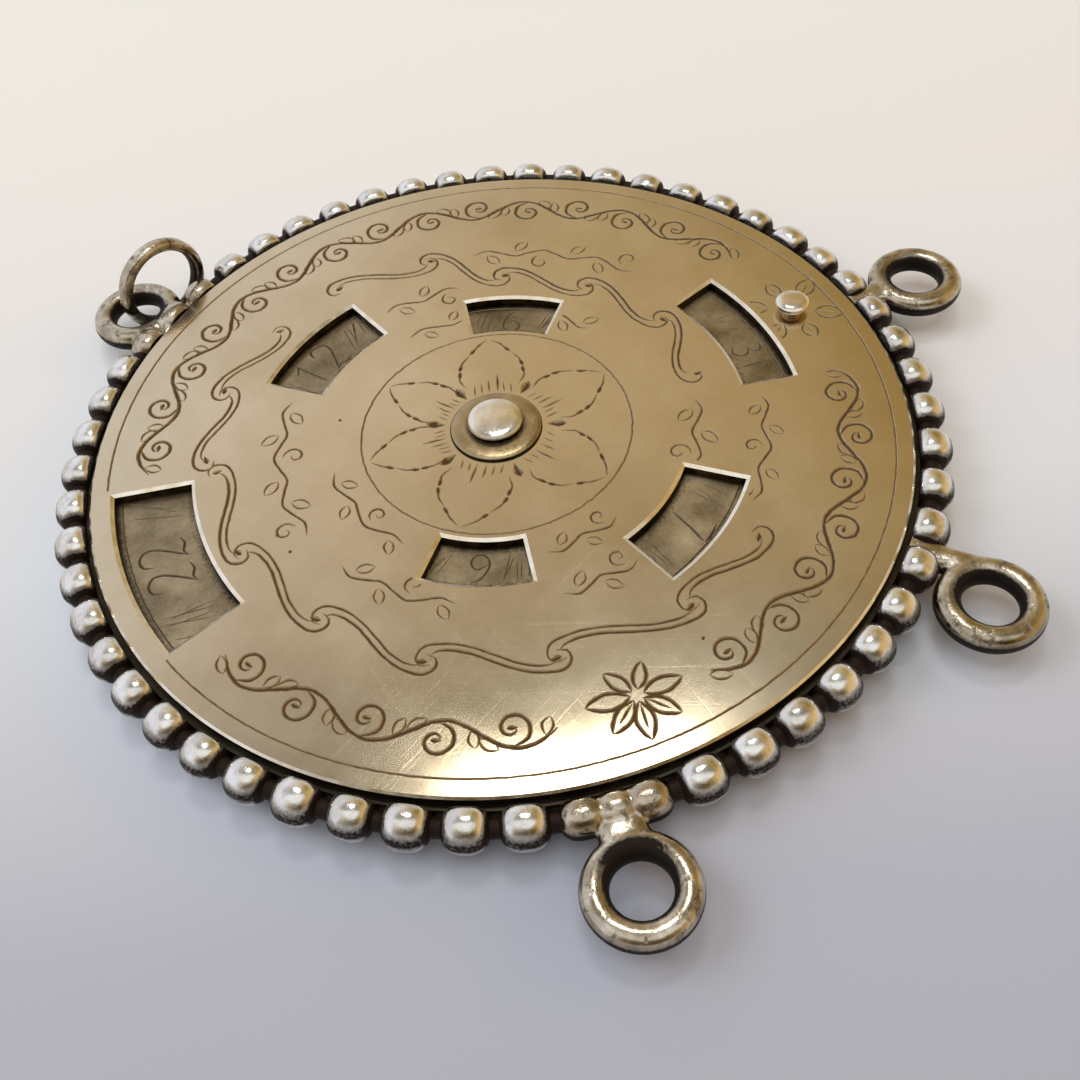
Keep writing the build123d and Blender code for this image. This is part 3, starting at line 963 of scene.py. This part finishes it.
def knob_profile(face, stem_end, up):
    """Stem and button; up is 1 where the knob stands on its dial and -1 where it hangs under it."""
    steps = [(0.6, 0.36), (0.92, 0.37), (1.05, 0.45), (1.09, 0.57), (1.05, 0.71), (0.9, 0.82)]
    steps += [(0.65, 0.88), (0.3, 0.9), (0, 0.9)]
    stem = [(0, stem_end), (0.59, stem_end)]
    return stem + raised(face, [(radius, up * rise) for radius, rise in steps])


for name, angle, radius, face, body in (
    ("front", dial_turn, knob_circle, dial_high, "front_disc"),
    ("back", back_turn, back_knob_circle, back_low, "back_disc"),
):
    low, high = heights(f"{name}_knob")
    up = 1 if name == "front" else -1
    stem_end = low if up > 0 else high
    knob = turned(knob_profile(face, stem_end, up), polar(radius, angle), 40)
    # painted shade: the stem and the underside of the button darken towards the dial's face
    add_grime(knob, lambda p, n: 1.2 - up * (p[:, 2] - face) / 0.35)
    piece = finish_mesh(f"{name}_finger_knob", knob)
    dress(piece, body, (button_silver,), f"{name}_knob")

# %% [markdown]
# ## Beaded wire
#
# Beaded wire is rolled between grooved plates, so its beads touch at thin necks where dirt and painted shade
# lie. Each
# length is one mesh: beads and necks, filed flat where they meet the plate.

# %% Beads between the loops
bead_circle = plate_radius + 0.7
bead_radius = 1.33


def bead_grime(points, normals):
    """Dirt and painted shade in the necks, and a band of painted shade and dark reflection round the beads'
    lower halves; their undersides are rubbed clean.
    """
    radius = np.hypot(points[:, 0], points[:, 1])
    off_centre = np.hypot(radius - bead_circle, points[:, 2] - middle)
    neck = 1.3 - (off_centre - 0.73) / 0.32
    band = np.minimum((0.84 - normals[:, 2]) / 0.42, (normals[:, 2] + 0.25) / 0.3)
    return np.maximum(neck, 0.8 * np.minimum(band, 1))


def along_rim(centre, angle):
    """A frame at a point of the wire's middle, its z axis along the rim."""
    return (
        Matrix.Translation(Vector((*centre, middle)) * MM)
        @ Matrix.Rotation(np.radians(angle), 4, "Z")
        @ Matrix.Rotation(np.radians(90), 4, "X")
    )


def full_ball(mesh, fullness):
    """A ball of radius 1, round at a fullness of 2 and nearer to a cylinder about z above that."""
    ball = bmesh.ops.create_uvsphere(mesh, u_segments=24, v_segments=17, radius=1)["verts"]
    for vert in ball:
        wider = ((1 - abs(vert.co.z) ** fullness) / max(1e-6, 1 - vert.co.z**2)) ** 0.5
        vert.co.x, vert.co.y = vert.co.x * wider, vert.co.y * wider
    return ball


def keep_off_plate(mesh):
    """Flatten what reaches into the plate against its rim."""
    nearest = plate_radius + 0.01
    for vert in mesh.verts:
        x, y = vert.co.x / MM, vert.co.y / MM
        if np.hypot(x, y) < nearest:
            vert.co.x, vert.co.y = polar(nearest * MM, np.degrees(np.arctan2(y, x)))


def bead_strip(name, start, end, count, first_trim=0.0, last_trim=0.0):
    """One length of beaded wire between two angles; a trim shortens the end that meets a loop's neck."""
    mesh = bmesh.new()
    pitch = (end - start) / count
    for number in range(count):
        angle = start + (number + 0.5) * pitch
        centre = polar(bead_circle, angle + hand.normal(0, 0.08))
        size = bead_radius * hand.uniform(0.965, 1.01)
        squeeze = hand.uniform(0.99, 1.04)
        place = along_rim(centre, angle) @ Matrix.Rotation(hand.uniform(0, 0.3), 4, "Z")
        place = place @ Matrix.Diagonal((size * MM, size * MM, size * squeeze * MM, 1))
        bmesh.ops.transform(mesh, verts=full_ball(mesh, 2.6), matrix=place)
    ends = [start + first_trim] + [start + (i + 1) * pitch for i in range(count - 1)] + [end - last_trim]
    for number, angle in enumerate(ends):
        trimmed = (number == 0 and first_trim) or (number == count and last_trim)
        length = 0.54 if trimmed else 0.9
        if trimmed:
            angle += np.degrees(length / 2 / bead_circle) * (1 if number == 0 else -1)
        rod = {"radius1": 0.55 * MM, "radius2": 0.55 * MM, "depth": length * MM}
        place = along_rim(polar(bead_circle, angle), angle)
        bmesh.ops.create_cone(mesh, segments=16, cap_ends=True, matrix=place, **rod)
    keep_off_plate(mesh)
    add_grime(mesh, bead_grime)
    piece = finish_mesh(f"{name}_beaded_wire", mesh, 60)
    dress(piece, "plate", (bright_silver,), f"{name}_beads")


neck_trim = 1.4
bead_strip("right", -38.0, 79.0, 18, first_trim=neck_trim)
bead_strip("lower_right", -84.83, -38.0, 7, neck_trim, neck_trim)
bead_strip("lower_left", -131.2, -84.83, 7, last_trim=neck_trim)
bead_strip("left", 98.0, 215.2, 18)

# %% [markdown]
# ## Cast loops
#
# A loop is cast in one piece. The ring, its neck and its saddle are rough volumes here; a voxel remesh
# melts them together and a smoothing pass gives the soft fillets of a casting.

# %% Rough volumes of a loop
def wire_section(half_width, half_height, power):
    """Offsets (aside, up) round a wire's section, an ellipse at a power of 1 and boxier below that."""
    offsets = []
    for corner in np.linspace(0, 360, 16, endpoint=False):
        c, s = np.cos(np.radians(corner)), np.sin(np.radians(corner))
        aside = half_width * np.sign(c) * abs(c) ** power
        offsets.append((aside, half_height * np.sign(s) * abs(s) ** power))
    return offsets


def add_skin(mesh, sections, closed=False):
    """Join a row of sections with faces; an open row gets a cap at each end."""
    following = sections[1:] + sections[:1] if closed else sections[1:]
    for a, b in zip(sections, following):
        for i in range(len(a)):
            mesh.faces.new((a[i], a[i - 1], b[i - 1], b[i]))
    if not closed:
        mesh.faces.new(sections[0])
        mesh.faces.new(sections[-1][::-1])


def add_ring(mesh, centre, radius, half_width, half_height):
    """A ring of nearly round wire, lying level."""
    turns = 48
    sections = []
    for step in range(turns):
        section = []
        for aside, up in wire_section(half_width, half_height, 0.92):
            x, y = np.asarray(centre) + polar(radius + aside, 360 * step / turns)
            section.append(mesh.verts.new((x, y, middle + up)))
        sections.append(section)
    add_skin(mesh, sections, closed=True)


def add_bar(mesh, start, end, half_widths, half_height):
    """A bar with rounded edges that can flare from one end to the other."""
    start, end = np.asarray(start), np.asarray(end)
    ahead = (end - start) / np.linalg.norm(end - start)
    left = np.array([-ahead[1], ahead[0]])
    sections = []
    for point, half in zip(np.linspace(start, end, len(half_widths)), half_widths):
        section = []
        for aside, up in wire_section(half, half_height, 0.7):
            x, y = point + left * aside
            section.append(mesh.verts.new((x, y, middle + up)))
        sections.append(section)
    add_skin(mesh, sections)


def add_lump(mesh, radius, angle, sizes):
    """A worn bead on a saddle; sizes are along the radius, along the rim and up."""
    place = (
        Matrix.Translation(Vector((*polar(radius, angle), middle)))
        @ Matrix.Rotation(np.radians(angle), 4, "Z")
        @ Matrix.Diagonal((*sizes, 1))
    )
    for vert in full_ball(mesh, 2.8):
        vert.co = place @ Vector((vert.co.x, vert.co.z, vert.co.y))


# %% Melt the volumes together
def cast(mesh, voxel=0.12, passes=5):
    """Voxel remesh and smooth, then keep clear of the plate; voxel is in mm."""
    bmesh.ops.scale(mesh, verts=mesh.verts, vec=(MM, MM, MM))
    bmesh.ops.recalc_face_normals(mesh, faces=mesh.faces)
    rough = bpy.data.meshes.new("rough")
    mesh.to_mesh(rough)
    mesh.free()
    carrier = add_object("rough", rough)
    remesh = carrier.modifiers.new("melt", "REMESH")
    remesh.mode = "VOXEL"
    remesh.voxel_size = voxel * MM
    smooth = carrier.modifiers.new("fillet", "SMOOTH")
    smooth.iterations = passes
    smooth.factor = 0.5
    graph = bpy.context.evaluated_depsgraph_get()
    melted = bpy.data.meshes.new_from_object(carrier.evaluated_get(graph))
    bpy.data.objects.remove(carrier)
    bpy.data.meshes.remove(rough)
    solid = bmesh.new()
    solid.from_mesh(melted)
    bpy.data.meshes.remove(melted)
    keep_off_plate(solid)
    return solid


def loop_grime(eye, neck_dirt_and_shade):
    """Dirt and painted shade in the bore, under the loop and by the beads; soot is how much of both lies
    round the neck.
    """

    def amount(points, normals):
        to_eye = np.asarray(eye) - points[:, :2]
        reach = np.linalg.norm(to_eye, axis=1)
        inward = (normals[:, :2] * to_eye).sum(axis=1) / np.maximum(reach, 1e-6)
        rim_side = np.clip(((points[:, :2] - eye) * -eye / np.linalg.norm(eye)).sum(axis=1) / 2.3, 0, 1)
        bore = (1.9 + rim_side) * np.clip(inward - 0.22 + 0.25 * rim_side, 0, 1) * (reach < 2.4)
        bore = np.maximum(bore, neck_dirt_and_shade * rim_side * np.clip((2.35 + 0.3 * neck_dirt_and_shade - reach) / 0.5, 0, 1))
        under = 0.95 * np.clip(np.minimum((0.5 - normals[:, 2]) / 0.4, (normals[:, 2] + 0.95) / 0.3), 0, 1)
        root = 0.9 - (np.hypot(points[:, 0], points[:, 1]) - plate_radius - 0.1) / 0.7
        return np.maximum(np.maximum(bore, under), root * np.clip(1.1 - normals[:, 2], 0, 1))

    return amount


# %% Four loops
bore_radius, wire_width = 1.5, 1.55
wire_circle = bore_radius + wire_width / 2


def loop(name, circle_radius, angle, neck_angle, flare, saddle=(), neck_dirt_and_shade=0.8):
    """A cast loop; flare holds its neck's half widths from the plate outwards, saddle its lumps."""
    mesh = bmesh.new()
    eye = polar(circle_radius, angle)
    add_ring(mesh, eye, wire_circle + 0.015, half_width=0.76, half_height=0.755)
    lean = np.radians(neck_angle - angle)
    neck_end = circle_radius * np.cos(lean) - np.sqrt(wire_circle**2 - (circle_radius * np.sin(lean)) ** 2)
    neck = polar(np.array([plate_radius - 0.1, neck_end]), neck_angle)
    add_bar(mesh, *neck, flare, half_height=0.66)
    for lump_angle, sizes in saddle:
        add_lump(mesh, bead_circle + 0.02, lump_angle, sizes)
    solid = cast(mesh)
    add_grime(solid, loop_grime(eye, neck_dirt_and_shade))
    piece = finish_mesh(f"{name}_cast_loop", solid, 80)
    dress(piece, "plate", (cast_silver,), f"{name}_loop")


top_lumps = [(82.4, (1.15, 1.32, 1.12)), (88.6, (1.2, 1.4, 1.14)), (94.8, (1.15, 1.3, 1.1))]
left_lumps = [(-141.7, (1.12, 1.3, 1.06)), (-138.0, (1.12, 1.2, 1.02)), (-134.3, (1.14, 1.3, 1.08))]
loop("top", 28.8, 90.0, 90.0, (1.6, 1.3, 1.3), top_lumps)
loop("right", 30.4, -38.0, -38.0, (1.5, 0.95, 0.8, 0.95, 1.3))
loop("centre", 30.4, -89.5, -85.5, (1.5, 0.95, 0.78, 0.74, 0.72))
loop("left", 30.4, -138.0, -138.0, (2.2, 1.7, 1.3, 1.3, 1.5), left_lumps, neck_dirt_and_shade=1.2)

# %% [markdown]
# ## Free ring
#
# A strip of flattened wire, bent round and closed with a butt joint that never quite meets.

# %% Bend the ring
ring_middle = np.array([2.43102, 28.14861, 3.35])
ring_heading = -15.0
ring_circle = 2.9
joint, bend = 64, 358.6
ring_mesh = bmesh.new()
sections = []
for angle in np.linspace(joint, joint + bend, 73):
    section = []
    for aside, across in wire_section(0.4, 0.5, 0.72):
        out = ring_circle + aside
        flat = polar(out * np.cos(np.radians(angle)), ring_heading) + polar(across, ring_heading + 90)
        x, y, z = ring_middle + np.array([*flat, out * np.sin(np.radians(angle))])
        section.append(ring_mesh.verts.new((x * MM, y * MM, z * MM)))
    sections.append(section)
add_skin(ring_mesh, sections)
bmesh.ops.recalc_face_normals(ring_mesh, faces=ring_mesh.faces)


def ring_grime(points, normals):
    """The inner side, which nothing rubs, is brown, and the ring gets painted shade towards its bottom, where
    it sits in the loop.
    """
    outward = points - ring_middle
    outward /= np.linalg.norm(outward, axis=1)[:, None]
    inner = 1.3 * np.clip(-(normals * outward).sum(axis=1) - 0.05, 0, 1)
    return np.maximum(inner, 0.75 - (points[:, 2] - 1.6) / 1.5)


add_grime(ring_mesh, ring_grime)
free_ring = finish_mesh("bent_free_ring", ring_mesh, 60)
dress(free_ring, "free_ring", (cast_silver,), "jump_ring")

# %% [markdown]
# ## Floor, light and camera
#
# Silver shows its surroundings more than its own colour, so the room is painted by direction: cool at the
# far left, golden wood at the right, and dark on the near side, so that the beads and loops turn dark there.
# One lamp is mirrored and makes the highlight on the dial's near edge. The other three only add light.

# %% Pale floor
floor_mesh = bmesh.new()
floor_half_size = 4  # metres
bmesh.ops.create_grid(floor_mesh, x_segments=1, y_segments=1, size=floor_half_size)
floor_data = bpy.data.meshes.new("pale_floor")
floor_mesh.to_mesh(floor_data)
floor_mesh.free()
floor = add_object("pale_floor", floor_data)

paper, tree, place = new_material("pale_paper_painted_falloff")
across = node(tree, "ShaderNodeVectorMath", {0: place, 1: (0.84, 0.54, 0)}, operation="DOT_PRODUCT")
# painted shade: the floor's colour runs from darker and bluer on the near side to pale on the far side, a
# painted falloff of light
tone = spread(tree, across.outputs["Value"], -52.0, 60.0, 0.0, 1.0)
paper_falloff_stops = [(0.0, "#9fa3ad"), (0.2, "#aaaeba"), (0.42, "#d3d6da"), (0.7, "#dedddb"), (1.0, "#e1e2de")]
colour = ramp(tree, tone, paper_falloff_stops)
paper_shader = node(tree, "ShaderNodeBsdfPrincipled", {"Base Color": colour, "Roughness": 0.85})
node(tree, "ShaderNodeOutputMaterial", {"Surface": paper_shader.outputs[0]})
floor.data.materials.append(paper)

# %% Lamps
def lamp(name, azimuth, elevation, distance, size, colour, power, mirrored=False):
    """A rectangular lamp aimed at the origin; the silver shows it only if mirrored is set."""
    data = bpy.data.lights.new(name, "AREA")
    data.shape = "RECTANGLE"
    data.size, data.size_y = size
    data.color = linear(colour)[:3]
    data.energy = power
    rise = np.radians(elevation)
    direction = Vector((*(np.cos(rise) * polar(1, azimuth)), np.sin(rise)))
    made = add_object(name, data)
    made.location = direction * distance
    made.rotation_euler = direction.to_track_quat("Z", "Y").to_euler()
    made.visible_glossy = mirrored


lamp("window_light", 29, 72, 0.5, (0.12, 0.075), "#fffefb", 0.32, mirrored=True)
lamp("ceiling_light", 205, 76, 0.5, (0.26, 0.36), "#f6f9ff", 0.52)
lamp("main_light", 112, 47, 0.5, (0.28, 0.18), "#f0f4ff", 0.6)
lamp("warm_side_light", -48, 27, 0.5, (0.3, 0.16), "#ffad48", 0.33)

# %% Surroundings
world = bpy.data.worlds.new("warm_room")
bpy.context.scene.world = world
world.use_nodes = True
tree = world.node_tree
tree.nodes.clear()
view = node(tree, "ShaderNodeTexCoord").outputs["Generated"]


def facing(direction):
    """The cosine between the view direction and another one."""
    lean = node(tree, "ShaderNodeVectorMath", {0: view, 1: direction}, operation="DOT_PRODUCT")
    return lean.outputs["Value"]


def towards(azimuth, low, high, to_low, to_high):
    """Map how far the view direction leans to an azimuth, from -1 to 1."""
    return spread(tree, facing((*polar(1, azimuth), 0)), low, high, to_low, to_high)


def at_height(low, high, to_low, to_high):
    """Map how high the view direction points, from 0 level to 1 straight up."""
    return spread(tree, up, low, high, to_low, to_high)


up = node(tree, "ShaderNodeSeparateXYZ", {0: view}).outputs["Z"]
low_stops = [(0.0, "#b0aba2"), (0.15, "#b8b3aa"), (0.35, "#e6e3dc"), (0.57, "#d8c9ae")]
high_stops = [(0.72, "#e7d4b8"), (0.87, "#948f84"), (1.0, "#aaa69c")]
wood_stops = [(0.0, "#b39a72"), (0.3, "#c6b494"), (0.48, "#b3924f"), (0.58, "#9e8430"), (0.8, "#a0873a")]
sky = ramp(tree, up, low_stops + high_stops)
daylight = calc(tree, "MULTIPLY", towards(100, 0.28, 0.6, 0.0, 1.0), at_height(0.72, 1.0, 1.0, 0.0))
sky = mixed(tree, daylight, sky, linear("#f1f4ff"))
beside = calc(tree, "MULTIPLY", towards(-62, -0.15, 0.4, 0.0, 1.0), at_height(0.65, 1.02, 1.0, 0.0))
sky = mixed(tree, beside, sky, ramp(tree, up, wood_stops))
sky = mixed(tree, towards(-66, 0.52, 0.82, 0.0, 0.75), sky, linear("#f0cc92"))
near_side = calc(tree, "MULTIPLY", towards(213, 0.4, 0.8, 0.0, 0.9), at_height(0.2, 0.45, 0.35, 1.0))
sky = mixed(tree, near_side, sky, linear("#463629"))
halo = spread(tree, facing((0.347, 0.14, 0.927)), 0.968, 0.992, 0.0, 0.55)
sky = mixed(tree, halo, sky, linear("#e9f4ff"))
overhead = calc(tree, "MULTIPLY", towards(28, -0.04, 0.1, 1.0, 0.0), at_height(0.74, 0.84, 0.0, 1.0))
sky = mixed(tree, overhead, sky, linear("#fdfeff"))
sky = mixed(tree, at_height(0.12, 0.21, 1.0, 0.0), sky, linear("#d6d5d3"))
background = node(tree, "ShaderNodeBackground", {"Color": sky, "Strength": 1.0})
node(tree, "ShaderNodeOutputWorld", {"Surface": background.outputs[0]})

# %% Camera
camera_place = Vector((-44.0173, -30.9496, 59.5049)) * MM
camera_target = Vector((-6.6625, -6.5613, 3.2)) * MM
camera_roll = np.radians(-6.79)
camera_data = bpy.data.cameras.new("camera")
camera_data.lens = 42.08
camera_data.sensor_width = 36
camera_data.clip_start = 0.002
camera_data.clip_end = 10
camera = add_object("camera", camera_data)
aim = (camera_target - camera_place).to_track_quat("-Z", "Y").to_matrix().to_4x4()
camera.matrix_world = Matrix.Translation(camera_place) @ aim @ Matrix.Rotation(camera_roll, 4, "Z")
bpy.context.scene.camera = camera
bpy.context.scene.view_settings.view_transform = "Standard"
